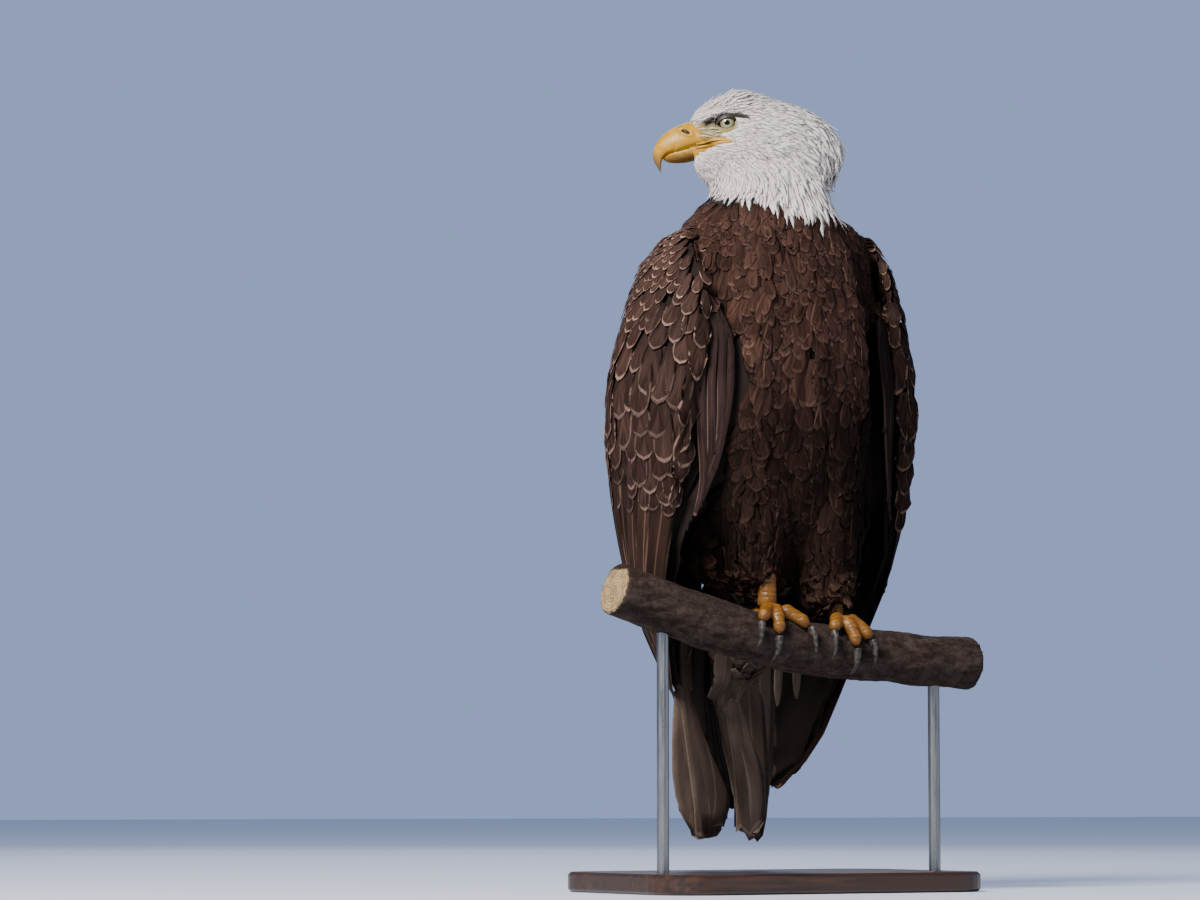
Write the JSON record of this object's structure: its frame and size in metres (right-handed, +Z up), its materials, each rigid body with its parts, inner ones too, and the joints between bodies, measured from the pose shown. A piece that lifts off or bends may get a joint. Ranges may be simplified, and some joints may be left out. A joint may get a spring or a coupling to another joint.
{
  "type": "bald eagle",
  "caption": "Life-size adult bald eagle perched upright with its head turned aside, on a short length of branch held over a flat base by rods.",
  "frame": {"origin": "on the underside of the stand's base, straight below the middle of the perch", "axes": "+Z up, the bird's body faces -Y, its right side is on -X, and the perch runs along X"},
  "size_m": [0.4289, 0.248, 0.8116],
  "materials": {
    "white_plumage": "white feathers, soft and matt",
    "brown_plumage": "dark brown feathers with paler edges",
    "wing_plumage": "brown coverts and secondaries with buff edges",
    "flight_feathers": "blackish brown primaries, slightly glossy",
    "tail_plumage": "off-white tail feathers, worn at the tips",
    "bill": "yellow horn, satin",
    "eye": "pale straw iris under a clear cornea",
    "scaled_skin": "yellow scaled skin",
    "claw": "black horn, satin",
    "bark": "grey-brown bark",
    "stand_wood": "dark stained wood, satin",
    "stand_steel": "brushed"
  },
  "bodies": {
    "root": {"head": "white_plumage", "neck": "white_plumage", "rump": "white_plumage", "trunk": "brown_plumage", "thigh_right": "brown_plumage", "thigh_left": "brown_plumage", "cere": "bill", "beak_upper": "bill", "beak_lower": "bill", "eye_left": "eye", "eye_right": "eye", "perch": "bark", "stand_base": "stand_wood", "stand_rod_right": "stand_steel", "stand_rod_left": "stand_steel", "wing_right_coverts": "wing_plumage", "wing_right_secondaries": "wing_plumage", "wing_right_primaries": "flight_feathers", "tail_right": "tail_plumage", "tarsus_right": "scaled_skin", "toe_right_1": "scaled_skin", "claw_right_1": "claw", "toe_right_2": "scaled_skin", "claw_right_2": "claw", "toe_right_3": "scaled_skin", "claw_right_3": "claw", "toe_right_4": "scaled_skin", "claw_right_4": "claw", "wing_left_coverts": "wing_plumage", "wing_left_secondaries": "wing_plumage", "wing_left_primaries": "flight_feathers", "tail_left": "tail_plumage", "tarsus_left": "scaled_skin", "toe_left_1": "scaled_skin", "claw_left_1": "claw", "toe_left_2": "scaled_skin", "claw_left_2": "claw", "toe_left_3": "scaled_skin", "claw_left_3": "claw", "toe_left_4": "scaled_skin", "claw_left_4": "claw"}
  },
  "joints": []
}
